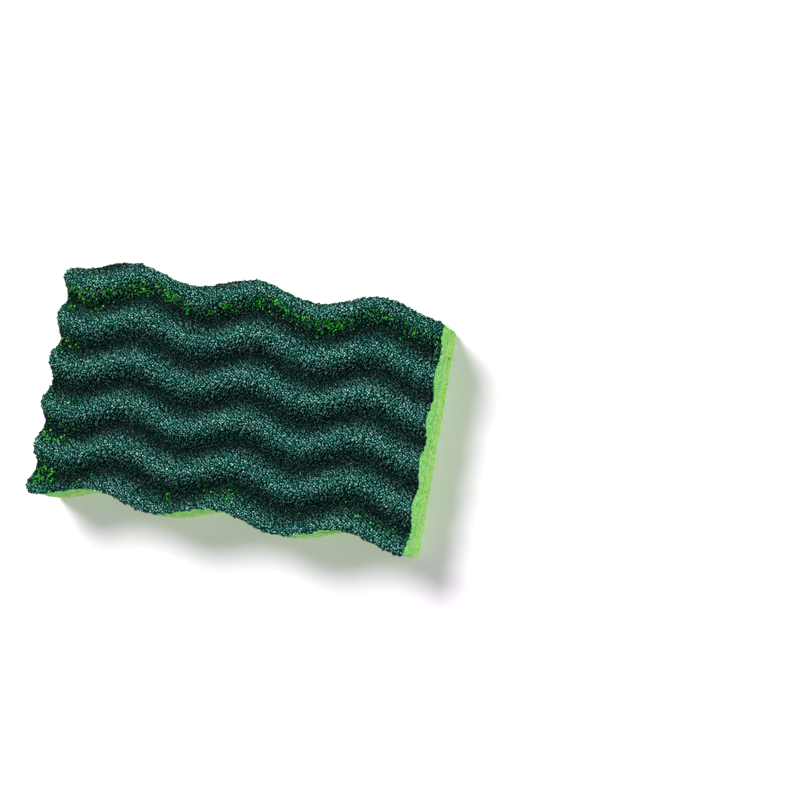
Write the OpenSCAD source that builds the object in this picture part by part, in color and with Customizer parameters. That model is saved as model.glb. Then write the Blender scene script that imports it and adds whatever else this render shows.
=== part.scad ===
// Two-layer cleaning sponge: a cellulose block bonded to a rippled foam layer
// that carries an abrasive scrub skin. It lies on its wiping face, scrub side
// up, with X along its length and the origin below its middle. Millimetres.

/* [Outline] */
// Length between the two straight cut ends
sponge_length = 114; // [80:1:150]
// Width between the two wavy long edges
sponge_width = 67.3; // [45:0.1:90]
// Waves along each long edge
wave_count = 3; // [1:1:5]
// Swing of each long edge from hollow to crest
wave_swing = 4.2; // [0:0.1:6]
// Rounding of the four corners, seen from above
corner_radius = 1.5; // [0.5:0.1:4]

/* [Cellulose] */
// Thickness of the cellulose block
cellulose_thickness = 11.6; // [6:0.1:20]
// Rounding of the edge around the wiping face
wiping_edge_radius = 2; // [0.5:0.1:4]

/* [Bond] */
// Thickness of the adhesive film
bond_thickness = 0.4; // [0.2:0.1:1]
// How far the film stays back from the cut edges
bond_setback = 0.2; // [0:0.1:2]

/* [Foam] */
// Thickness of the foam below the top of a ridge
foam_thickness = 10.8; // [8:0.1:20]

/* [Ripples] */
// Distance from ridge to ridge
ridge_pitch = 12.7; // [9:0.1:20]
// Height of a ridge above the groove beside it
ridge_height = 4.4; // [0.5:0.1:7]
// Distance of the middle groove from the centre line
groove_offset = -1.1; // [-6:0.1:6]
// Swing of the ridges' own wave from hollow to crest
ripple_swing = 4.8; // [0:0.1:6]
// Length of one wave of the ridges
ripple_wave_length = 35.4; // [20:0.1:80]
// How far the ridges' wave lies from the middle of the length
ripple_shift = 3.9; // [-15:0.1:15]
// Slant of the ridges against the long edges, in degrees
ripple_slant = 0.7; // [-1.5:0.1:1.5]

/* [Scrub skin] */
// Thickness of the abrasive web over the foam
skin_thickness = 1.2; // [0.5:0.1:3]

/* [Hidden] */

// How finely the curves are divided
steps_per_wave = 10;
steps_per_ridge = 8;
corner_steps = 3;
edge_steps = 4;

// Heights at which the layers meet
bond_bottom = cellulose_thickness;
foam_bottom = bond_bottom + bond_thickness;
foam_crest = foam_bottom + foam_thickness;

columns = steps_per_wave * wave_count;
middle_rows = ceil(steps_per_ridge * sponge_width / ridge_pitch);
rows = middle_rows + 2 * corner_steps;

// Sideways swing of the outline at a place along the length
function swing(x) = wave_swing / 2 * cos(360 * wave_count * x / sponge_length);

// Line of the middle groove. The moulded ridges wave a little out of step with the cut edges.
function groove_line(x) =
    groove_offset + x * tan(ripple_slant)
    + ripple_swing / 2 * cos(360 * (x - ripple_shift) / ripple_wave_length);

// Height of the foam's rippled top at a place seen from above
function foam_top(plan) =
    foam_crest - ridge_height / 2 * (1 + cos(360 * (plan[1] - groove_line(plan[0])) / ridge_pitch));

// Rows run across the sponge and close up around the rounded corners.
// corner_turn is how far round its corner a row lies, in degrees.
function corner_turn(row) = 90 * min(row, rows - row, corner_steps) / corner_steps;
function row_side(row) = row < rows / 2 ? -1 : 1;
function in_corner(row) = min(row, rows - row) < corner_steps;
function row_across(row, inset) =
    let (half = sponge_width / 2 - inset)
    in_corner(row)
        ? row_side(row) * (half - corner_radius * (1 - cos(corner_turn(row))))
        : (half - corner_radius) * (2 * (row - corner_steps) / middle_rows - 1);

// Half the length of the sponge along one row
function row_reach(row, inset) =
    sponge_length / 2 - inset - corner_radius * (1 - sin(corner_turn(row)));

// Share of a row's line that follows the ridges instead of the cut edge. It grows over one ridge.
function row_share(row, inset) =
    let (room = sponge_width / 2 - inset - corner_radius - abs(row_across(row, inset)))
    min(1, max(0, room / ridge_pitch));

// Where a row and a column cross, seen from above
function plan_point(column, row, inset = 0) =
    let (
        x = row_reach(row, inset) * (2 * column / columns - 1),
        share = row_share(row, inset),
        ridge_swing = groove_line(x) - groove_offset
    )
    [x, row_across(row, inset) + (1 - share) * swing(x) + share * ridge_swing];

// The outline's grid places, anticlockwise from the low corner
outline_places = concat(
    [for (column = [0 : columns - 1]) [column, 0]],
    [for (row = [0 : rows - 1]) [columns, row]],
    [for (column = [columns : -1 : 1]) [column, rows]],
    [for (row = [rows : -1 : 1]) [0, row]]
);
outline_count = len(outline_places);

function outline(inset = 0) = [for (place = outline_places) plan_point(place[0], place[1], inset)];

// Places of points in lists that hold a grid row by row
function grid_index(column, row) = row * (columns + 1) + column;
grid_count = (columns + 1) * (rows + 1);
outline_indexes = [for (place = outline_places) grid_index(place[0], place[1])];

function grid_points(lift) = [
    for (row = [0 : rows], column = [0 : columns])
        let (plan = plan_point(column, row))
        [plan[0], plan[1], foam_top(plan) + lift]
];

// Two triangles for each cell of the grid, facing up
grid_faces = [
    for (row = [0 : rows - 1], column = [0 : columns - 1], half = [0, 1])
        half == 0
            ? [grid_index(column, row), grid_index(column, row + 1), grid_index(column + 1, row + 1)]
            : [grid_index(column, row), grid_index(column + 1, row + 1), grid_index(column + 1, row)]
];

// Wall between a lower and an upper ring of points, as triangles
function wall_faces(lower, upper) = [
    for (k = [0 : len(lower) - 1], half = [0, 1])
        let (next = (k + 1) % len(lower))
        half == 0 ? [lower[k], upper[k], upper[next]] : [lower[k], upper[next], lower[next]]
];

// Place of an outline point in a ring of them
function ring_index(column, row) =
    row == 0 ? column
    : column == columns ? columns + row
    : row == rows ? 2 * columns + rows - column
    : 2 * columns + 2 * rows - row;

// Flat cap over a ring, facing up: strips from edge to edge, and a fan at each end
cap_faces = concat(
    [
        for (column = [0 : columns - 1], half = [0, 1])
            half == 0
                ? [ring_index(column, 0), ring_index(column, rows), ring_index(column + 1, rows)]
                : [ring_index(column, 0), ring_index(column + 1, rows), ring_index(column + 1, 0)]
    ],
    [
        for (row = [1 : rows - 1], side = [0, columns])
            side == 0
                ? [ring_index(0, 0), ring_index(0, row), ring_index(0, row + 1)]
                : [ring_index(columns, 0), ring_index(columns, row + 1), ring_index(columns, row)]
    ]
);

function shifted(indexes, shift) = [for (index = indexes) index + shift];
function turned_over(faces) = [for (face = faces) [for (k = [2 : -1 : 0]) face[k]]];

// Block with the wavy outline and a rounded edge around its wiping face
module cellulose_sponge() {
    // A tight edge is all that a thin block has room for
    edge = min(wiping_edge_radius, cellulose_thickness / 2);
    rings = concat(
        [for (k = [0 : edge_steps])
            let (turn = 90 * k / edge_steps)
            [edge * (1 - sin(turn)), edge * (1 - cos(turn))]],
        [[0, bond_bottom]]
    );
    points = [for (ring = rings, plan = outline(ring[0])) [plan[0], plan[1], ring[1]]];
    ring_places = [for (k = [0 : len(rings) - 1]) [for (j = [0 : outline_count - 1]) k * outline_count + j]];
    faces = concat(
        turned_over(cap_faces),
        [for (k = [0 : len(rings) - 2]) each wall_faces(ring_places[k], ring_places[k + 1])],
        [for (face = cap_faces) shifted(face, ring_places[len(rings) - 1][0])]
    );
    color("yellowgreen")
        polyhedron(points, faces);
}

// Thin film that holds the two layers together
module glue_line() {
    color("palegoldenrod")
        translate([0, 0, bond_bottom])
            linear_extrude(bond_thickness)
                polygon(outline(bond_setback));
}

// Foam with a flat back and ridges that run the length of the sponge
module foam_layer() {
    back = [for (plan = outline()) [plan[0], plan[1], foam_bottom]];
    back_places = [for (k = [0 : outline_count - 1]) grid_count + k];
    color("mediumseagreen")
        polyhedron(
            concat(grid_points(0), back),
            concat(
                grid_faces,
                wall_faces(back_places, outline_indexes),
                [for (face = turned_over(cap_faces)) shifted(face, grid_count)]
            )
        );
}

// Abrasive web of even depth that lies on the foam's ridges and grooves
module scrub_skin() {
    color("darkslategray")
        polyhedron(
            concat(grid_points(0), grid_points(skin_thickness)),
            concat(
                turned_over(grid_faces),
                [for (face = grid_faces) shifted(face, grid_count)],
                wall_faces(outline_indexes, shifted(outline_indexes, grid_count))
            )
        );
}

cellulose_sponge();
glue_line();
foam_layer();
scrub_skin();
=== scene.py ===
import math

import bmesh
import bpy
import numpy as np
from mathutils import Matrix, Vector, noise


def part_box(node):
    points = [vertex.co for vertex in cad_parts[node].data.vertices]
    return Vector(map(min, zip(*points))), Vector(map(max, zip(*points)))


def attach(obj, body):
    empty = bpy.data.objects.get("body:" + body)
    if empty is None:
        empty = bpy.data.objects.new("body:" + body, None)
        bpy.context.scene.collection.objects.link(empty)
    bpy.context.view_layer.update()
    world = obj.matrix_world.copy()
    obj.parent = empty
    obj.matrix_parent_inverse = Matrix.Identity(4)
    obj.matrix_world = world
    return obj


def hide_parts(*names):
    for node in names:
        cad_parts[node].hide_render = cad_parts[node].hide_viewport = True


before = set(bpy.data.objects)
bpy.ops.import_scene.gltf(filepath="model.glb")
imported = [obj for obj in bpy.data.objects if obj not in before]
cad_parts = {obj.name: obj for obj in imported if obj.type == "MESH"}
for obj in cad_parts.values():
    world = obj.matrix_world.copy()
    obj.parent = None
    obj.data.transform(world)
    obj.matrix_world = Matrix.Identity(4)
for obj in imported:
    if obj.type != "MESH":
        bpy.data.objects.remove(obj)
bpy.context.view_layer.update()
mm = 0.001

# Camera, at the angle from which the scrub side is seen. Millimetres and degrees.
camera = {
    "place": (206.5, -38.6, 673.9),  # over the scrub side and right of its middle
    "aim": (43.1, 9.2, 0.0),         # the spot on the worktop in mid picture
    "turn": 9.89,                    # how far the picture's top leans from +Y towards -X
    "lens": 106.8,
    "sensor": 36.0,
    "clip": (0.01, 20),              # metres
}


def makeCamera():
    data = bpy.data.cameras.new("camera")
    data.lens = camera["lens"]
    data.sensor_width = camera["sensor"]
    data.clip_start, data.clip_end = camera["clip"]
    obj = bpy.data.objects.new("camera", data)
    bpy.context.scene.collection.objects.link(obj)
    place, aim = Vector(camera["place"]) * mm, Vector(camera["aim"]) * mm
    turn = math.radians(camera["turn"])
    back = (place - aim).normalized()
    right = Vector((-math.sin(turn), math.cos(turn), 0)).cross(back).normalized()
    up = back.cross(right)
    obj.rotation_mode = "QUATERNION"
    obj.rotation_quaternion = Matrix((right, up, back)).transposed().to_quaternion()
    obj.location = place
    bpy.context.scene.camera = obj
    print("camera set")


# The sponge's outline and ridges, in millimetres and degrees, as in the CAD part.
# Its length, its width and the heights of its layers are read from the frame.
sponge = {
    "waves": 3,
    "waveSwing": 4.2,
    "cornerRadius": 1.5,
    "ridgePitch": 12.7,
    "ridgeHeight": 4.4,
    "grooveOffset": -1.1,
    "rippleSwing": 4.8,
    "rippleWave": 35.4,
    "rippleShift": 3.9,
    "rippleSlant": 0.7,
    "skinThickness": 1.2,
}
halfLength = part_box("cellulose_sponge")[1].x / mm
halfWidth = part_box("cellulose_sponge")[1].y / mm - sponge["waveSwing"] / 2
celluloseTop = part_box("cellulose_sponge")[1].z / mm
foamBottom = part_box("foam_layer")[0].z / mm
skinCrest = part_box("scrub_skin")[1].z / mm


def swing(x):
    return sponge["waveSwing"] / 2 * np.cos(np.pi * sponge["waves"] * x / halfLength)


def grooveLine(x):
    wave = np.cos(2 * np.pi * (x - sponge["rippleShift"]) / sponge["rippleWave"])
    slant = math.tan(math.radians(sponge["rippleSlant"]))
    return sponge["grooveOffset"] + slant * x + sponge["rippleSwing"] / 2 * wave


# 1 along a groove's bottom, 0 along a crest
def grooveShare(x, y):
    return (1 + np.cos(2 * np.pi * (y - grooveLine(x)) / sponge["ridgePitch"])) / 2


def skinHeight(x, y):
    return skinCrest - sponge["ridgeHeight"] * grooveShare(x, y)


# Seen from above, a point that is so far along the outline (-1 to 1) and across it
def plan(along, across, inset):
    radius = sponge["cornerRadius"]
    half = halfWidth - inset
    straight = across * half
    over = np.clip(np.abs(straight) - (half - radius), 0, radius)
    reach = halfLength - inset - radius + np.sqrt(radius**2 - over**2)
    x = along * reach
    return x, straight + swing(x)


# How far a point lies inside the outline
def edgeDistance(along, across):
    return np.minimum((1 - np.abs(along)) * halfLength, (1 - np.abs(across)) * halfWidth)


# Each point of a block knows where it is on the main face and how many rows down
blockLayers = ("along", "across", "level")
rowDrop = 0.01      # keeps the rows apart until the points get their places
onEdge = 0.01       # a point nearer to the outline than this is part of the wall


# A closed block starts as a grid for its main face. Its border is drawn down into
# rows of wall, and a coarser grid closes the hidden side.
def makeBlock(name, columns, rows, wallRows, backColumns=60, backRows=60):
    bm = bmesh.new()
    alongLayer, acrossLayer, levelLayer = [bm.verts.layers.float.new(key) for key in blockLayers]

    def mark(verts, level):
        for v in verts:
            v[levelLayer] = level
            if level in (0, wallRows + 1):
                v[alongLayer], v[acrossLayer] = v.co.x, v.co.y
            v.co.z = -rowDrop * level

    grid = bmesh.ops.create_grid(bm, x_segments=columns, y_segments=rows, size=1)
    mark(grid["verts"], 0)
    border = [e for e in bm.edges if e.is_boundary]
    for level in range(1, wallRows + 1):
        drawn = bmesh.ops.extrude_edge_only(bm, edges=border)["geom"]
        mark([g for g in drawn if isinstance(g, bmesh.types.BMVert)], level)
        border = [g for g in drawn if isinstance(g, bmesh.types.BMEdge) and g.is_boundary]
    back = bmesh.ops.create_grid(bm, x_segments=backColumns, y_segments=backRows, size=1)
    mark(back["verts"], wallRows + 1)
    # only the last row of wall and the hidden side's border are still open
    bmesh.ops.bridge_loops(bm, edges=[e for e in bm.edges if e.is_boundary])
    sortParts(bm)
    mesh = bpy.data.meshes.new(name)
    bm.to_mesh(mesh)
    bm.free()
    return mesh


# The extrusions leave edges and faces in another order each time, and the scatter of
# the grains depends on it
def sortParts(bm):
    bm.verts.index_update()
    count = len(bm.verts)

    def order(part):
        spots = sorted(v.index for v in part.verts)
        return (spots[0] * count + spots[1]) * count + spots[-1]

    bm.edges.sort(key=order)
    bm.faces.sort(key=order)


def readLayer(mesh, key):
    values = np.zeros(len(mesh.vertices), np.float32)
    mesh.attributes[key].data.foreach_get("value", values)
    return values.astype(float)


def readBlock(mesh):
    return [readLayer(mesh, key) for key in blockLayers]


def addLayer(mesh, key, values):
    layer = mesh.attributes.new(key, "FLOAT", "POINT")
    layer.data.foreach_set("value", values.astype(np.float32))


def placeBlock(mesh, x, y, z):
    mesh.vertices.foreach_set("co", (np.stack([x, y, z], 1) * mm).astype(np.float32).ravel())
    for key in blockLayers:
        mesh.attributes.remove(mesh.attributes[key])
    bm = bmesh.new()
    bm.from_mesh(mesh)
    bmesh.ops.recalc_face_normals(bm, faces=bm.faces)
    bm.to_mesh(mesh)
    bm.free()
    mesh.shade_smooth()
    obj = bpy.data.objects.new(mesh.name, mesh)
    bpy.context.scene.collection.objects.link(obj)
    return obj


# Smooth chance from -1 to 1 that changes over about so many millimetres
def wander(x, y, z, size, seed):
    places = zip(x / size, y / size, z / size + seed)
    return np.array([noise.noise(place) for place in places])


# Node helpers that work in a material and in geometry nodes alike
def feed(tree, socket, value):
    if isinstance(value, bpy.types.NodeSocket):
        tree.links.new(value, socket)
    else:
        socket.default_value = value


def addMath(tree, operation, *values):
    node = tree.nodes.new("ShaderNodeMath")
    node.operation = operation
    for socket, value in zip(node.inputs, values):
        feed(tree, socket, value)
    return node.outputs[0]


def plus(tree, a, b):
    return addMath(tree, "ADD", a, b)


def minus(tree, a, b):
    return addMath(tree, "SUBTRACT", a, b)


def times(tree, a, b):
    return addMath(tree, "MULTIPLY", a, b)


# A chance from 0 to 1 becomes a swing about zero
def aroundZero(tree, chance, amount):
    return times(tree, minus(tree, chance, 0.5), amount)


def addVector(tree, operation, *values):
    node = tree.nodes.new("ShaderNodeVectorMath")
    node.operation = operation
    for socket, value in zip(node.inputs, values):
        feed(tree, socket, value)
    return node.outputs["Vector"]


def addScale(tree, vector, factor):
    node = tree.nodes.new("ShaderNodeVectorMath")
    node.operation = "SCALE"
    feed(tree, node.inputs[0], vector)
    feed(tree, node.inputs["Scale"], factor)
    return node.outputs["Vector"]


def addRange(tree, value, low, high, toLow=0.0, toHigh=1.0, smooth=True):
    node = tree.nodes.new("ShaderNodeMapRange")
    node.interpolation_type = "SMOOTHSTEP" if smooth else "LINEAR"
    feed(tree, node.inputs["Value"], value)
    feed(tree, node.inputs["From Min"], low)
    feed(tree, node.inputs["From Max"], high)
    feed(tree, node.inputs["To Min"], toLow)
    feed(tree, node.inputs["To Max"], toHigh)
    return node.outputs["Result"]


def addNoise(tree, vector, scale, detail=2.0, output="Fac"):
    node = tree.nodes.new("ShaderNodeTexNoise")
    feed(tree, node.inputs["Vector"], vector)
    node.inputs["Scale"].default_value = scale
    node.inputs["Detail"].default_value = detail
    return node.outputs[output]


def addCells(tree, vector, scale, feature="F1", even=0.0, seenFromAbove=False):
    node = tree.nodes.new("ShaderNodeTexVoronoi")
    node.feature = feature
    node.voronoi_dimensions = "2D" if seenFromAbove else "3D"
    feed(tree, node.inputs["Vector"], vector)
    node.inputs["Scale"].default_value = scale
    node.inputs["Randomness"].default_value = 1 - even
    return node.outputs


def addMix(tree, factor, a, b):
    node = tree.nodes.new("ShaderNodeMix")
    node.data_type = "RGBA"
    feed(tree, node.inputs["Factor"], factor)
    feed(tree, node.inputs[6], a)
    feed(tree, node.inputs[7], b)
    return node.outputs[2]


def addChannel(tree, colour, index=0):
    node = tree.nodes.new("ShaderNodeSeparateXYZ")
    feed(tree, node.inputs[0], colour)
    return node.outputs[index]


# A cell's own chance from 0 to 1
def cellChance(tree, vector, scale):
    return addChannel(tree, addCells(tree, vector, scale)["Color"])


# How far a point is from the wall of its cell
def wallDistance(tree, vector, scale):
    return addCells(tree, vector, scale, "DISTANCE_TO_EDGE")["Distance"]


def inMillimetres(tree, place):
    return addScale(tree, place, 1 / mm)


# Bends a pattern, the finer the larger the scale, by up to half the amount each way
def warped(tree, place, scale, amount):
    drift = addNoise(tree, place, scale, 1.0, "Color")
    drift = addVector(tree, "SUBTRACT", drift, (0.5, 0.5, 0.5))
    return addVector(tree, "ADD", place, addScale(tree, drift, amount))


def namedValue(tree, name):
    node = tree.nodes.new("GeometryNodeInputNamedAttribute")
    node.data_type = "FLOAT"
    node.inputs["Name"].default_value = name
    return node.outputs["Attribute"]


def startGeometry(name):
    tree = bpy.data.node_groups.new(name, "GeometryNodeTree")
    tree.interface.new_socket("Geometry", in_out="INPUT", socket_type="NodeSocketGeometry")
    tree.interface.new_socket("Geometry", in_out="OUTPUT", socket_type="NodeSocketGeometry")
    start = tree.nodes.new("NodeGroupInput").outputs[0]
    end = tree.nodes.new("NodeGroupOutput").inputs[0]
    return tree, start, end


# Moves a piece's surface along its normals by a pattern, and keeps where each
# point was in "rest", so that the material lays the same pattern over it.
def carve(obj, pattern):
    tree, start, end = startGeometry(obj.name + "_relief")
    place = tree.nodes.new("GeometryNodeInputPosition").outputs[0]
    keep = tree.nodes.new("GeometryNodeStoreNamedAttribute")
    keep.data_type, keep.domain = "FLOAT_VECTOR", "POINT"
    keep.inputs["Name"].default_value = "rest"
    tree.links.new(start, keep.inputs["Geometry"])
    tree.links.new(place, keep.inputs["Value"])
    move = tree.nodes.new("GeometryNodeSetPosition")
    tree.links.new(keep.outputs[0], move.inputs["Geometry"])
    normal = tree.nodes.new("GeometryNodeInputNormal").outputs[0]
    height = pattern(tree, inMillimetres(tree, place))
    height = times(tree, height, namedValue(tree, "give"))
    tree.links.new(addScale(tree, normal, times(tree, height, mm)), move.inputs["Offset"])
    tree.links.new(move.outputs[0], end)
    applyGeometry(obj, tree)


def applyGeometry(obj, tree):
    obj.modifiers.new("relief", "NODES").node_group = tree
    bpy.context.view_layer.update()
    evaluated = obj.evaluated_get(bpy.context.evaluated_depsgraph_get())
    mesh = bpy.data.meshes.new_from_object(evaluated)
    mesh.name = obj.name
    old = obj.data
    obj.modifiers.clear()
    obj.data = mesh
    if not old.users:
        bpy.data.meshes.remove(old)


def startMaterial(name):
    material = bpy.data.materials.new(name)
    material.use_nodes = True
    tree = material.node_tree
    return material, tree, tree.nodes["Principled BSDF"]


def readAttribute(tree, name, output="Fac"):
    node = tree.nodes.new("ShaderNodeAttribute")
    node.attribute_name = name
    return node.outputs[output]


def restPlace(tree):
    return inMillimetres(tree, readAttribute(tree, "rest", "Vector"))


def objectPlace(tree):
    return inMillimetres(tree, tree.nodes.new("ShaderNodeTexCoord").outputs["Object"])


def addRamp(tree, value, stops):
    node = tree.nodes.new("ShaderNodeValToRGB")
    ramp = node.color_ramp
    while len(ramp.elements) < len(stops):
        ramp.elements.new(0.5)
    for element, (place, colour) in zip(ramp.elements, stops):
        element.position = place
        element.color = (*colour, 1)
    feed(tree, node.inputs["Fac"], value)
    return node.outputs["Color"]


# Colour and relief come from nodes, the rest of the finish from the piece's values
def finishShader(tree, shader, finish, colour, height):
    strength, depth = finish["bump"]
    bump = tree.nodes.new("ShaderNodeBump")
    bump.inputs["Strength"].default_value = strength
    bump.inputs["Distance"].default_value = depth * mm
    feed(tree, bump.inputs["Height"], height)
    tree.links.new(bump.outputs[0], shader.inputs["Normal"])
    tree.links.new(colour, shader.inputs["Base Color"])
    shader.inputs["Roughness"].default_value = finish["roughness"]
    shader.inputs["Specular IOR Level"].default_value = finish["specular"]


def finishPiece(obj, material, node=None):
    obj.data.materials.clear()
    obj.data.materials.append(material)
    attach(obj, "root")
    if node:
        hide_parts(node)
    print(obj.name, len(obj.data.polygons), "faces")


# Scrub skin: a gritty web over the ridges, ragged along its cut edges. Lengths are in
# millimetres. Knobs, lumps, clumps, specks and holes are counted per millimetre.
scrub = {
    "columns": 330,
    "rows": 240,
    "rimRows": 4,
    "hiddenInset": 0.7,           # how far the underside lies inside the edge
    "knobs": 1.5,
    "knobTurn": 33.0,             # degrees, so that no row of knobs runs along the sponge
    "knobBend": (0.9, 0.35),
    "knobEven": 0.34,             # 0 strews the knobs at random, 1 sets them in rows
    "knobReach": 0.56,            # from a knob's top to its foot, in knob widths
    "knobLevels": (0.77, 1.23),   # some knobs are low and dull, others stand out
    "knobHeight": 0.46,
    "lumps": 0.5,
    "lumpHeight": 0.25,
    "ragged": 0.80,               # how far the cut edge wanders in and out
    "raggedWander": (1.1, 5.3),   # size and seed
    "raggedRow": 0.3,             # from one row of the rim to the next
    "edgeWidth": 1.2,             # the skin is ragged and worn so far in from its edge
    "edgeDrop": 0.5,              # the top edge is worn round by this much
    "overhang": 0.8,              # how far the ridges hang over the left end
    "overhangFrom": 1.5,          # it begins so far in from the end
    "overhangCorners": (4.0, 0.2),  # their width, and what share of it is left there
    "uneven": 0.30,               # slow unevenness of the ridges
    "unevenWander": (9.0, 3.1),
    "thinWander": (6.0, 11.7),    # patches where the coating is thin
    "thinFar": (2.22, 0.16),      # middle and width, in ridges from the middle groove
    "thinNear": (-2.15, 0.20),
    "thinLeft": (3.0, 6.0),       # the same in millimetres from the left end
    "thinShift": 1.0,             # how far beside a groove's bottom it is thin there
    "farPatches": (0.75, 1.3),    # how thin on the whole, and how patchy
    "nearPatches": (-0.1, 1.6),
    "leftPatches": (0.5, 1.5),
    "nearShare": 0.6,             # of how thin the far ridge is
    "leftShare": 0.9,
    "clumps": 0.45,
    "clumpEdge": (0.42, 0.60),
    "clumpThin": (0.2, 1.0),      # outside the clumps and in them
    "specks": 2.3,
    "speckBend": (2.2, 0.4),
    "speckEdge": (0.2, 0.6),
    "holes": 1.5,
    "holeBend": (1.5, 0.4),
    "holeEdge": (0.3, 0.6),
    "holeCoat": (0.0, 0.8),       # in a hole's middle and at its edge
    "rimBare": 0.4,               # how bare the lower rim is
    "rimRise": 2.0,               # above 1 only the lowest part is bare
    "knobShading": 0.50,           # a spot's tone adds up from its knob, painted bright on top and dark at its foot as shade,
    "speckGlintRange": (0.32, 0.10),  # its speck, from the middle to the edge, the brightest of them painted glints,
    "baseBright": 0.04,           # and this much everywhere
    "grooveShade": 0.89,              # how much of a groove's bottom is painted dark as shade
    "grooveShadeRise": 0.76,           # below 1 the painted shade climbs the flanks
    # colour of the painted shade in the grooves' bottoms, a faint blue-green
    "grooveShadeTone": (0.0003, 0.0026, 0.0034, 1),
    "washed": (0.40, 1.15, 0.28),  # a thin coating's tones are multiplied by this
    "washedMost": 0.95,
    "tones": [
        (0.00, (0.0004, 0.006, 0.0068)),
        (0.22, (0.0006, 0.031, 0.026)),
        (0.36, (0.004, 0.136, 0.104)),
        (0.52, (0.100, 0.500, 0.400)),
        # the palest tones, near white, are painted glints
        (0.68, (0.620, 0.970, 0.880)),
        (0.84, (0.980, 1.000, 1.000)),
    ],
    "bareTones": [
        (0.00, (0.004, 0.300, 0.004)),
        (0.40, (0.030, 0.800, 0.020)),
        (0.80, (0.140, 1.000, 0.070)),
        (1.00, (0.460, 1.000, 0.300)),
    ],
    "roughness": 0.55,
    "specular": 0.04,
    "speckRelief": 0.4,
    "bump": (0.7, 0.35),          # strength and depth
}


def webKnobs(tree, place):
    turned = tree.nodes.new("ShaderNodeVectorRotate")
    turned.rotation_type = "Z_AXIS"
    turned.inputs["Angle"].default_value = math.radians(scrub["knobTurn"])
    feed(tree, turned.inputs["Vector"], warped(tree, place, *scrub["knobBend"]))
    even = scrub["knobEven"]
    cells = addCells(tree, turned.outputs[0], scrub["knobs"], even=even, seenFromAbove=True)
    knobs = addRange(tree, cells["Distance"], 0.0, scrub["knobReach"], 1.0, 0.0)
    chance = addChannel(tree, cells["Color"])
    return times(tree, knobs, addRange(tree, chance, 0, 1, *scrub["knobLevels"], smooth=False))


def webHeight(tree, place):
    high = aroundZero(tree, webKnobs(tree, place), scrub["knobHeight"])
    slow = aroundZero(tree, addNoise(tree, place, scrub["lumps"]), scrub["lumpHeight"])
    return plus(tree, high, slow)


def makeScrubSkin():
    mesh = makeBlock("abrasive_web", scrub["columns"], scrub["rows"], scrub["rimRows"])
    along, across, level = readBlock(mesh)
    hidden = level > scrub["rimRows"]
    down = np.clip(level / scrub["rimRows"], 0, 1)
    near = np.clip(1 - edgeDistance(along, across) / scrub["edgeWidth"], 0, 1)
    x, y = plan(along, across, 0)
    ragged = wander(x, y, level * scrub["raggedRow"], *scrub["raggedWander"])
    ragged = ragged * scrub["ragged"] * near
    # the ridges hang over the left end, less so at its corners
    cornerWidth, cornerShare = scrub["overhangCorners"]
    fromCorner = np.clip((1 - np.abs(across)) * halfWidth / cornerWidth, cornerShare, 1)
    fromLeft = np.clip(1 - (1 + along) * halfLength / scrub["overhangFrom"], 0, 1)
    ragged -= scrub["overhang"] * (1 - grooveShare(x, y)) * fromCorner * fromLeft
    x, y = plan(along, across, np.where(hidden, scrub["hiddenInset"], ragged))
    z = skinHeight(x, y) - down * sponge["skinThickness"]
    uneven = wander(x, y, 0 * x, *scrub["unevenWander"]) * scrub["uneven"]
    z += (1 - down) * (uneven - near**2 * scrub["edgeDrop"])
    addLayer(mesh, "give", np.where(hidden, 0.0, 1.0))
    addLayer(mesh, "groove", grooveShare(x, y))
    addLayer(mesh, "down", down)
    addLayer(mesh, "thin", thinCoat(x, y))
    obj = placeBlock(mesh, x, y, z)
    carve(obj, webHeight)
    return obj


# Where the coating is thin: the far ridge's inner slope, the grooves near the left end
# and a few spots along the near ridge
def thinCoat(x, y):
    def band(value, middle, width):
        return np.exp(-((value - middle) / width) ** 2)

    def patchy(base, contrast):
        return np.clip(base + contrast * patches, 0, 1)

    fromGroove = (y - grooveLine(x)) / sponge["ridgePitch"]
    patches = wander(x, y, 0 * x, *scrub["thinWander"])
    far = band(fromGroove, *scrub["thinFar"]) * patchy(*scrub["farPatches"])
    left = band(x + halfLength, *scrub["thinLeft"]) * grooveShare(x, y + scrub["thinShift"])
    left = left * patchy(*scrub["leftPatches"])
    near = band(fromGroove, *scrub["thinNear"]) * patchy(*scrub["nearPatches"])
    thin = np.maximum(far, scrub["leftShare"] * left)
    return np.clip(np.maximum(thin, scrub["nearShare"] * near), 0, 1)


# How far the coating has worn thin here, in clumps
def wornShare(tree, place):
    clump = addNoise(tree, place, scrub["clumps"])
    clump = addRange(tree, clump, *scrub["clumpEdge"], *scrub["clumpThin"])
    return times(tree, readAttribute(tree, "thin"), clump)


# Resin tones, painted darker towards each groove's bottom as painted shade, and turned green where
# the coating is thin
def webColour(tree, tone, worn):
    # the grooves' bottoms are painted dark, as painted shade
    grooveShade = addMath(tree, "POWER", readAttribute(tree, "groove"), scrub["grooveShadeRise"])
    grooveShade = times(tree, grooveShade, scrub["grooveShade"])
    colour = addMix(tree, grooveShade, addRamp(tree, tone, scrub["tones"]), scrub["grooveShadeTone"])
    washed = addVector(tree, "MULTIPLY", colour, scrub["washed"])
    return addMix(tree, times(tree, worn, scrub["washedMost"]), colour, washed)


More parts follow.
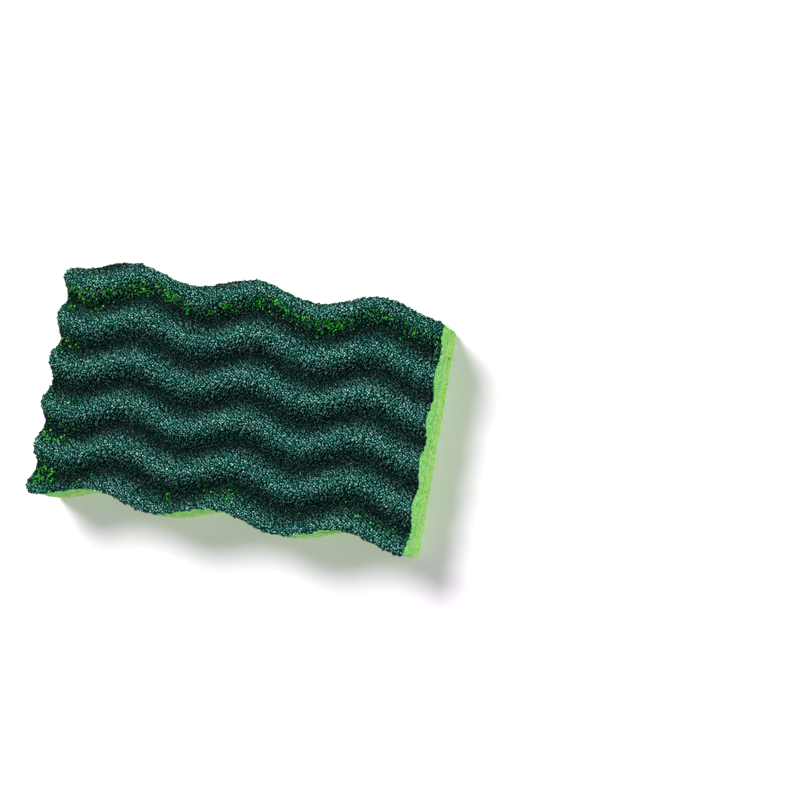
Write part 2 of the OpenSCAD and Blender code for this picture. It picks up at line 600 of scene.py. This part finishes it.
def webMaterial():
    material, tree, shader = startMaterial("abrasive_web")
    place = restPlace(tree)
    knobs = webKnobs(tree, place)
    # the brightest specks reach the near-white tones, which are painted glints
    specks = addCells(tree, warped(tree, place, *scrub["speckBend"]), scrub["specks"])
    chance = addChannel(tree, specks["Color"])
    speckGlint = addRange(tree, specks["Distance"], *scrub["speckEdge"], *scrub["speckGlintRange"])
    # the knobs' tops are painted lighter and their feet darker, as painted shade
    tone = plus(tree, times(tree, knobs, scrub["knobShading"]), times(tree, chance, speckGlint))
    tone = plus(tree, tone, scrub["baseBright"])
    worn = wornShare(tree, place)
    colour = webColour(tree, tone, worn)
    # green foam shows through where the coating is thin, and along its lower rim
    holes = addCells(tree, warped(tree, place, *scrub["holeBend"]), scrub["holes"])
    coat = addRange(tree, holes["Distance"], *scrub["holeEdge"], *scrub["holeCoat"])
    coat = plus(tree, addChannel(tree, holes["Color"], 1), coat)
    rim = addMath(tree, "POWER", readAttribute(tree, "down"), scrub["rimRise"])
    rim = times(tree, rim, scrub["rimBare"])
    shows = addMath(tree, "GREATER_THAN", addMath(tree, "MAXIMUM", worn, rim), coat)
    green = addRamp(tree, addChannel(tree, holes["Color"]), scrub["bareTones"])
    height = plus(tree, knobs, times(tree, chance, scrub["speckRelief"]))
    finishShader(tree, shader, scrub, addMix(tree, shows, colour, green), height)
    return material


# Grains: splinters of mineral in the web's resin, in millimetres
grains = {
    "gap": 0.52,            # least distance between two of them
    "density": 3e6,         # most of them in a square metre
    "sizes": (0.24, 0.48),
    "sides": 3,
    "radius": 0.75,         # of a grain of size 1
    "seeds": {"place": 7, "size": 1, "tone": 2},
    "ownBright": 0.24,      # a grain's tone adds up from its own chance,
    "mottleBright": 0.10,   # its mottling,
    "knobShading": 0.48,     # its place on a knob, painted bright on top and dark at the foot as shade,
    "baseBright": 0.09,     # and this much everywhere
    "mottles": 4.0,         # per millimetre
    "roughness": 0.3,
    "specular": 0.1,
    "bump": (0.3, 0.1),
}


# The grains are scattered over the web and turned at random
def makeGrains(web):
    obj = bpy.data.objects.new("abrasive_grains", web.data)
    bpy.context.scene.collection.objects.link(obj)
    tree, start, end = startGeometry("abrasive_grains_scatter")
    scatter = tree.nodes.new("GeometryNodeDistributePointsOnFaces")
    scatter.distribute_method = "POISSON"
    scatter.inputs["Distance Min"].default_value = grains["gap"] * mm
    scatter.inputs["Density Max"].default_value = grains["density"]
    scatter.inputs["Seed"].default_value = grains["seeds"]["place"]
    tree.links.new(start, scatter.inputs["Mesh"])
    outer = addMath(tree, "GREATER_THAN", namedValue(tree, "give"), 0.5)
    tree.links.new(outer, scatter.inputs["Selection"])
    grain = tree.nodes.new("GeometryNodeMeshCone")
    grain.inputs["Vertices"].default_value = grains["sides"]
    grain.inputs["Radius Bottom"].default_value = grains["radius"] * mm
    grain.inputs["Depth"].default_value = mm
    turn = tree.nodes.new("FunctionNodeRandomValue")
    turn.data_type = "FLOAT_VECTOR"
    turn.inputs[1].default_value = (math.tau, math.tau, math.tau)
    size = tree.nodes.new("FunctionNodeRandomValue")
    size.data_type = "FLOAT_VECTOR"
    for socket, value in zip(size.inputs, grains["sizes"]):
        socket.default_value = [value] * 3
    size.inputs["Seed"].default_value = grains["seeds"]["size"]
    spread = tree.nodes.new("GeometryNodeInstanceOnPoints")
    tree.links.new(scatter.outputs["Points"], spread.inputs["Points"])
    tree.links.new(grain.outputs["Mesh"], spread.inputs["Instance"])
    tree.links.new(turn.outputs[0], spread.inputs["Rotation"])
    tree.links.new(size.outputs[0], spread.inputs["Scale"])
    tone = tree.nodes.new("FunctionNodeRandomValue")
    tone.inputs["Seed"].default_value = grains["seeds"]["tone"]
    store = tree.nodes.new("GeometryNodeStoreNamedAttribute")
    store.data_type, store.domain = "FLOAT", "INSTANCE"
    store.inputs["Name"].default_value = "tone"
    tree.links.new(spread.outputs[0], store.inputs["Geometry"])
    tree.links.new(tone.outputs[1], store.inputs["Value"])
    real = tree.nodes.new("GeometryNodeRealizeInstances")
    tree.links.new(store.outputs[0], real.inputs[0])
    tree.links.new(real.outputs[0], end)
    applyGeometry(obj, tree)
    return obj


# Grains on the knobs' tops are painted bright and those between them dark, as painted shade at the
# knobs' feet
def grainMaterial():
    material, tree, shader = startMaterial("abrasive_grains")
    mottle = addNoise(tree, objectPlace(tree), grains["mottles"])
    place = restPlace(tree)
    # a grain's own chance can reach the near-white tones, which are painted glints
    own = times(tree, readAttribute(tree, "tone"), grains["ownBright"])
    tone = plus(tree, own, times(tree, mottle, grains["mottleBright"]))
    # a grain on a knob's top is painted brighter and one at its foot darker, as painted shade
    tone = plus(tree, tone, times(tree, webKnobs(tree, place), grains["knobShading"]))
    tone = plus(tree, tone, grains["baseBright"])
    colour = webColour(tree, tone, wornShare(tree, place))
    finishShader(tree, shader, grains, colour, mottle)
    return material


# Glue line: a thin film between the layers, in millimetres. Some of the adhesive has
# soaked into both of them.
glue = {
    "columns": 220,
    "rows": 130,
    "wallRows": 3,
    "backGrid": (40, 30),
    "hiddenInset": 0.8,
    "bulge": 0.22,
    "uneven": 0.30,
    "unevenWander": (3.0, 8.8),        # size and seed
    "wavering": 0.7,                   # how far the line wanders up and down
    "waveringWander": (5.0, 2.2),
    "soakLower": 1.6,                  # how far below the line most adhesive went
    "soakDrift": 3.0,
    "soakDrifts": 0.12,                # per millimetre
    "soakReach": 5.0,
    "soakFade": (0.1, 1.0),            # away from the line, in reaches
    "soakChance": (0.07, -0.25),       # what the streaks gain and lose over that
    "soakStreaks": (0.14, 0.14, 1.1),  # per millimetre, so they are long and flat
    "soakEdge": (0.49, 0.61),
    "soakMost": 0.9,
    "soakFromEnd": (0.6, 3.0),         # it is strong at the cut ends and weak further in
    "soakFurtherIn": 0.3,
    "soakHollows": (0.25, 0.9),        # how deep the hollows are that have less of it
    "soakInHollows": 0.15,
    "soakColour": (0.62, 0.94, 0.36, 1),
    "patches": 0.7,                    # per millimetre
    "patchEdge": (0.3, 0.7),
    "dimples": 2.0,                    # per millimetre
    "colours": ((0.26, 0.78, 0.13, 1), (0.60, 0.95, 0.34, 1)),
    "roughness": 0.5,
    "specular": 0.5,
    "bump": (0.4, 0.15),
}


def makeGlue():
    wallRows = glue["wallRows"]
    mesh = makeBlock("adhesive_film", glue["columns"], glue["rows"], wallRows, *glue["backGrid"])
    along, across, level = readBlock(mesh)
    hidden = level > wallRows
    share = np.clip(level / wallRows, 0, 1)
    x, y = plan(along, across, 0)
    out = glue["bulge"] * np.sin(np.pi * share)
    out = out + glue["uneven"] * wander(x, y, 0 * x, *glue["unevenWander"])
    x, y = plan(along, across, np.where(hidden, glue["hiddenInset"], -out))
    z = foamBottom + (celluloseTop - foamBottom) * share
    lift = wander(x, y, 0 * x, *glue["waveringWander"]) * glue["wavering"]
    z += np.where(edgeDistance(along, across) < onEdge, lift, 0)
    return placeBlock(mesh, x, y, z)


def glueMaterial():
    material, tree, shader = startMaterial("adhesive")
    place = objectPlace(tree)
    patch = addRange(tree, addNoise(tree, place, glue["patches"]), *glue["patchEdge"])
    colour = addMix(tree, patch, *glue["colours"])
    finishShader(tree, shader, glue, colour, addNoise(tree, place, glue["dimples"]))
    return material


# The soaked adhesive leaves pale streaks along the cut ends of foam and cellulose,
# fewer of them in the hollows
def glueSoaked(tree, place, colour, hollow):
    height = minus(tree, addChannel(tree, place, 2), (celluloseTop + foamBottom) / 2)
    drift = aroundZero(tree, addNoise(tree, place, glue["soakDrifts"]), glue["soakDrift"])
    away = plus(tree, height, plus(tree, drift, glue["soakLower"]))
    away = addMath(tree, "DIVIDE", addMath(tree, "ABSOLUTE", away), glue["soakReach"])
    streaks = addNoise(tree, addVector(tree, "MULTIPLY", place, glue["soakStreaks"]), 1.0)
    share = addRange(tree, away, *glue["soakFade"], *glue["soakChance"], smooth=False)
    share = addRange(tree, plus(tree, streaks, share), *glue["soakEdge"], 0.0, glue["soakMost"])
    fromEnd = minus(tree, halfLength, addMath(tree, "ABSOLUTE", addChannel(tree, place, 0)))
    weaker = addRange(tree, fromEnd, *glue["soakFromEnd"], 1.0, glue["soakFurtherIn"])
    share = times(tree, share, weaker)
    weaker = addRange(tree, hollow, *glue["soakHollows"], 1.0, glue["soakInHollows"])
    return addMix(tree, times(tree, share, weaker), colour, glue["soakColour"])


# Foam layer: fine cells, with the resin of the skin soaked into its top edge. Lengths
# are in millimetres. Cells, lumps, grains, specks, marks and patches are counted per
# millimetre.
foam = {
    "columns": 300,
    "rows": 180,
    "wallRows": 32,
    "inset": 0.08,
    "hiddenInset": 0.8,
    "wideCells": 1.15,
    "wideOpen": (0.1, 1.0),    # how deep the flattest and the deepest of them are
    "wideChances": (0.35, 0.9),
    "fineCells": 2.6,
    "fineDepth": 0.6,          # as a share of the wide ones' depth
    "cellWall": (0.04, 0.26),  # a wall's foot and top, in cells from its middle
    "cellBend": (0.6, 0.5),
    "cellDepth": 0.30,
    "uneven": 0.6,
    "unevenLumps": 0.22,
    "soakFrom": 0.2,           # depth below the skin to which the resin is dense
    "soakTo": 1.5,             # and where it ends
    "soakDark": 0.5,
    "paleTo": 1.6,             # the cut edge is bleached down to this depth
    "grains": 1.8,
    "specks": 2.1,
    "knifeMarks": (1.3, 1.3, 0.3),  # they run from the skin to the glue line
    "baseBright": 0.22,        # a spot's tone adds up from this much everywhere,
    "grainBright": 0.45,       # its grain,
    "pitShade": 0.65,           # less the depth of its pit, painted as shade in it,
    "markBright": 0.95,        # its knife marks
    "paleBright": 0.25,        # and how bleached it is
    "tones": [
        (0.10, (0.040, 0.360, 0.025)),
        (0.40, (0.130, 0.680, 0.070)),
        (0.70, (0.260, 0.920, 0.140)),
        (1.00, (0.600, 1.000, 0.420)),
    ],
    "coolPatches": 0.18,
    "coolEdge": (0.40, 0.65),
    "coolColour": (0.14, 0.82, 0.26, 1),
    "coolShare": 0.25,
    "roughness": 0.85,
    "specular": 0.2,
    "bump": (0.6, 0.25),
}


def foamPits(tree, place):
    drifted = warped(tree, place, *foam["cellBend"])
    wide = addRange(tree, wallDistance(tree, drifted, foam["wideCells"]), *foam["cellWall"])
    chance = cellChance(tree, drifted, foam["wideCells"])
    wide = times(tree, wide, addRange(tree, chance, *foam["wideChances"], *foam["wideOpen"]))
    fine = addRange(tree, wallDistance(tree, drifted, foam["fineCells"]), *foam["cellWall"])
    return addMath(tree, "MAXIMUM", wide, times(tree, fine, foam["fineDepth"]))


def foamHeight(tree, place):
    slow = aroundZero(tree, addNoise(tree, place, foam["unevenLumps"]), foam["uneven"])
    return minus(tree, slow, times(tree, foamPits(tree, place), foam["cellDepth"]))


def makeFoam():
    mesh = makeBlock("foam_cells", foam["columns"], foam["rows"], foam["wallRows"])
    along, across, level = readBlock(mesh)
    hidden = level > foam["wallRows"]
    x, y = plan(along, across, np.where(hidden, foam["hiddenInset"], foam["inset"]))
    top = skinHeight(x, y) - sponge["skinThickness"]
    z = top + (foamBottom - top) * np.clip(level / foam["wallRows"], 0, 1)
    covered = (level == 0) & (edgeDistance(along, across) > onEdge)
    addLayer(mesh, "give", np.where(hidden | covered, 0.0, 1.0))
    addLayer(mesh, "under", np.maximum(top - z, 0))
    obj = placeBlock(mesh, x, y, z)
    carve(obj, foamHeight)
    return obj


def foamMaterial():
    material, tree, shader = startMaterial("foam")
    place = restPlace(tree)
    grain = cellChance(tree, place, foam["grains"])
    pit = foamPits(tree, place)
    marks = addNoise(tree, addVector(tree, "MULTIPLY", place, foam["knifeMarks"]), 1.0)
    under = readAttribute(tree, "under")
    bleached = addRange(tree, under, foam["paleTo"], foam["soakFrom"])
    tone = plus(tree, foam["baseBright"], times(tree, grain, foam["grainBright"]))
    # the pits are painted darker the deeper they are, as painted shade
    tone = minus(tree, tone, times(tree, pit, foam["pitShade"]))
    tone = plus(tree, tone, times(tree, marks, foam["markBright"]))
    tone = plus(tree, tone, times(tree, bleached, foam["paleBright"]))
    colour = addRamp(tree, tone, foam["tones"])
    cooler = addMix(tree, foam["coolShare"], colour, foam["coolColour"])
    cool = addRange(tree, addNoise(tree, place, foam["coolPatches"]), *foam["coolEdge"])
    colour = glueSoaked(tree, place, addMix(tree, cool, colour, cooler), pit)
    # below the skin its resin thins out into specks
    specks = addCells(tree, place, foam["specks"])
    depth = addRange(tree, under, foam["soakFrom"], foam["soakTo"], 1.0, 0.0)
    soaked = addMath(tree, "GREATER_THAN", depth, addChannel(tree, specks["Color"], 2))
    dark = times(tree, addChannel(tree, specks["Color"], 1), foam["soakDark"])
    colour = addMix(tree, soaked, colour, addRamp(tree, dark, scrub["tones"]))
    finishShader(tree, shader, foam, colour, minus(tree, grain, pit))
    return material


# Cellulose block: open pores of all sizes, flattened through the sheet, so that they
# are round on the wiping face and drawn out on the cut sides. Lengths are in
# millimetres. Pores, patches and threads are counted per millimetre.
cellulose = {
    "columns": 300,
    "rows": 190,
    "edgeRows": 8,
    "wallRows": 26,
    "edgeRadius": 2.0,
    "hiddenInset": 0.8,
    "flatten": 2.6,
    "poreDepth": 1.1,
    "poreBend": (0.25, 2.4),
    "bigPores": 0.19,
    "bigSizes": (-0.08, 0.42),    # their radii, in cells; none where this is below 0
    "bigChances": (0.3, 1.0),
    "bigEdge": 0.10,
    "bigRim": (0.03, 0.06),       # where the smooth wall round a big pore is, and its width
    "middlePores": 0.62,
    "middleWall": (0.05, 0.28),   # a wall's foot and top, in cells from its middle
    "middleDepths": (0.25, 0.9),
    "middleChances": (0.2, 0.9),
    "smallPores": 1.3,
    "smallWall": (0.06, 0.28),
    "smallDepth": 0.42,
    "patches": 0.35,
    "patchShare": 0.3,
    # from the pale walls to the dark deep pores, so the pores carry painted shade
    "tones": [
        (0.00, (0.640, 1.000, 0.370)),
        (0.20, (0.380, 0.970, 0.140)),
        (0.50, (0.180, 0.800, 0.032)),
        (1.00, (0.060, 0.480, 0.008)),
    ],
    "threads": 2.4,
    "threadRelief": 0.3,
    "roughness": 0.8,
    "specular": 0.25,
    "bump": (0.6, 0.5),
}


def porePattern(tree, place):
    drifted = warped(tree, place, *cellulose["poreBend"])
    drifted = addVector(tree, "MULTIPLY", drifted, (1.0, 1.0, cellulose["flatten"]))
    big = addCells(tree, drifted, cellulose["bigPores"])
    chance, spread = addChannel(tree, big["Color"]), cellulose["bigChances"]
    bigSize = addRange(tree, chance, *spread, *cellulose["bigSizes"], smooth=False)
    inside = minus(tree, bigSize, big["Distance"])
    bigPore = addRange(tree, inside, 0.0, cellulose["bigEdge"])
    rimPlace, rimWidth = cellulose["bigRim"]
    fromRim = addMath(tree, "ABSOLUTE", plus(tree, inside, rimPlace))
    bigRim = addRange(tree, fromRim, 0.0, rimWidth, 1.0, 0.0)
    middle = wallDistance(tree, drifted, cellulose["middlePores"])
    middle = addRange(tree, middle, *cellulose["middleWall"])
    chance, spread = cellChance(tree, drifted, cellulose["middlePores"]), cellulose["middleChances"]
    middle = times(tree, middle, addRange(tree, chance, *spread, *cellulose["middleDepths"]))
    small = wallDistance(tree, drifted, cellulose["smallPores"])
    small = addRange(tree, small, *cellulose["smallWall"])
    small = times(tree, small, cellulose["smallDepth"])
    lesser = addMath(tree, "MAXIMUM", middle, small)
    lesser = times(tree, lesser, minus(tree, 1.0, bigRim))
    return addMath(tree, "MAXIMUM", bigPore, lesser)


def poreHeight(tree, place):
    return times(tree, porePattern(tree, place), -cellulose["poreDepth"])


def makeCellulose():
    edgeRows, radius = cellulose["edgeRows"], cellulose["edgeRadius"]
    allRows = edgeRows + cellulose["wallRows"]
    mesh = makeBlock("cellulose_pores", cellulose["columns"], cellulose["rows"], allRows)
    along, across, level = readBlock(mesh)
    hidden = level > allRows
    turn = np.clip(level / edgeRows, 0, 1) * np.pi / 2
    inset = radius * (1 - np.sin(turn))
    z = radius * (1 - np.cos(turn))
    z += np.clip((level - edgeRows) / cellulose["wallRows"], 0, 1) * (celluloseTop - radius)
    x, y = plan(along, across, np.where(hidden, cellulose["hiddenInset"], inset))
    addLayer(mesh, "give", np.where(hidden, 0.0, 1.0))
    obj = placeBlock(mesh, x, y, z)
    carve(obj, poreHeight)
    return obj


def celluloseMaterial():
    material, tree, shader = startMaterial("cellulose")
    place = restPlace(tree)
    deep = porePattern(tree, place)
    patch = addNoise(tree, place, cellulose["patches"])
    patch = aroundZero(tree, patch, cellulose["patchShare"])
    # the deeper a pore, the darker and more saturated its colour, as painted shade in it
    colour = addRamp(tree, plus(tree, deep, patch), cellulose["tones"])
    colour = glueSoaked(tree, place, colour, deep)
    threads = addNoise(tree, place, cellulose["threads"])
    height = minus(tree, times(tree, threads, cellulose["threadRelief"]), deep)
    finishShader(tree, shader, cellulose, colour, height)
    return material


# Stage: a pale floor and soft studio light. Metres and degrees.
studio = {
    "floorSize": 3.0,
    "floorBounce": 0.72,              # what the floor throws back, also up at the wiping face
    "floorTint": (0.98, 0.90, 1.00),  # still white in the light, less green in the shadow
    "floorGlow": 0.10,                # how much of the floor's white no shadow takes away
    "worldStrength": 0.23,
    "keyEnergy": 3.3,
    "keyAngle": 26.0,
    "keyFrom": (-0.46, 0.41, 0.79),
    "fillEnergy": 1.50,
    "fillAngle": 70.0,
    "fillFrom": (0.95, -0.20, 0.23),
}


def makeStage():
    world = bpy.context.scene.world or bpy.data.worlds.new("world")
    bpy.context.scene.world = world
    world.use_nodes = True
    tree = world.node_tree
    background = tree.nodes["Background"]
    background.inputs["Color"].default_value = (1, 1, 1, 1)
    seen = tree.nodes.new("ShaderNodeLightPath").outputs["Is Camera Ray"]
    strength = addRange(tree, seen, 0, 1, studio["worldStrength"], 1.0, smooth=False)
    tree.links.new(strength, background.inputs["Strength"])
    for name in ("key", "fill"):
        light = bpy.data.lights.new(name, "SUN")
        light.energy = studio[name + "Energy"]
        light.angle = math.radians(studio[name + "Angle"])
        lamp = bpy.data.objects.new(name, light)
        lamp.rotation_mode = "QUATERNION"
        lamp.rotation_quaternion = Vector(studio[name + "From"]).to_track_quat("Z", "Y")
        bpy.context.scene.collection.objects.link(lamp)
    bm = bmesh.new()
    bmesh.ops.create_grid(bm, x_segments=1, y_segments=1, size=studio["floorSize"])
    mesh = bpy.data.meshes.new("floor")
    bm.to_mesh(mesh)
    bm.free()
    floor = bpy.data.objects.new("floor", mesh)
    bpy.context.scene.collection.objects.link(floor)
    mesh.materials.append(floorMaterial())
    print("stage set")


def floorMaterial():
    material = bpy.data.materials.new("floor")
    material.use_nodes = True
    tree = material.node_tree
    tree.nodes.clear()
    # the camera sees a lit white floor with the shadow on it
    lit = tree.nodes.new("ShaderNodeBsdfDiffuse")
    lit.inputs["Color"].default_value = (*studio["floorTint"], 1)
    white = tree.nodes.new("ShaderNodeEmission")
    white.inputs["Strength"].default_value = studio["floorGlow"]
    both = tree.nodes.new("ShaderNodeAddShader")
    tree.links.new(lit.outputs[0], both.inputs[0])
    tree.links.new(white.outputs[0], both.inputs[1])
    # the sponge gets an even pale light back from it
    bounce = tree.nodes.new("ShaderNodeEmission")
    bounce.inputs["Strength"].default_value = studio["floorBounce"]
    seen = tree.nodes.new("ShaderNodeLightPath").outputs["Is Camera Ray"]
    choose = tree.nodes.new("ShaderNodeMixShader")
    tree.links.new(seen, choose.inputs[0])
    tree.links.new(bounce.outputs[0], choose.inputs[1])
    tree.links.new(both.outputs[0], choose.inputs[2])
    # from below the floor is clear
    below = tree.nodes.new("ShaderNodeNewGeometry").outputs["Backfacing"]
    clear = tree.nodes.new("ShaderNodeBsdfTransparent")
    side = tree.nodes.new("ShaderNodeMixShader")
    tree.links.new(below, side.inputs[0])
    tree.links.new(choose.outputs[0], side.inputs[1])
    tree.links.new(clear.outputs[0], side.inputs[2])
    surface = tree.nodes.new("ShaderNodeOutputMaterial").inputs["Surface"]
    tree.links.new(side.outputs[0], surface)
    return material


makeCamera()
finishPiece(makeCellulose(), celluloseMaterial(), "cellulose_sponge")
finishPiece(makeGlue(), glueMaterial(), "glue_line")
finishPiece(makeFoam(), foamMaterial(), "foam_layer")
web = makeScrubSkin()
finishPiece(makeGrains(web), grainMaterial())
finishPiece(web, webMaterial(), "scrub_skin")
makeStage()

bpy.context.scene.view_settings.view_transform = "Standard"
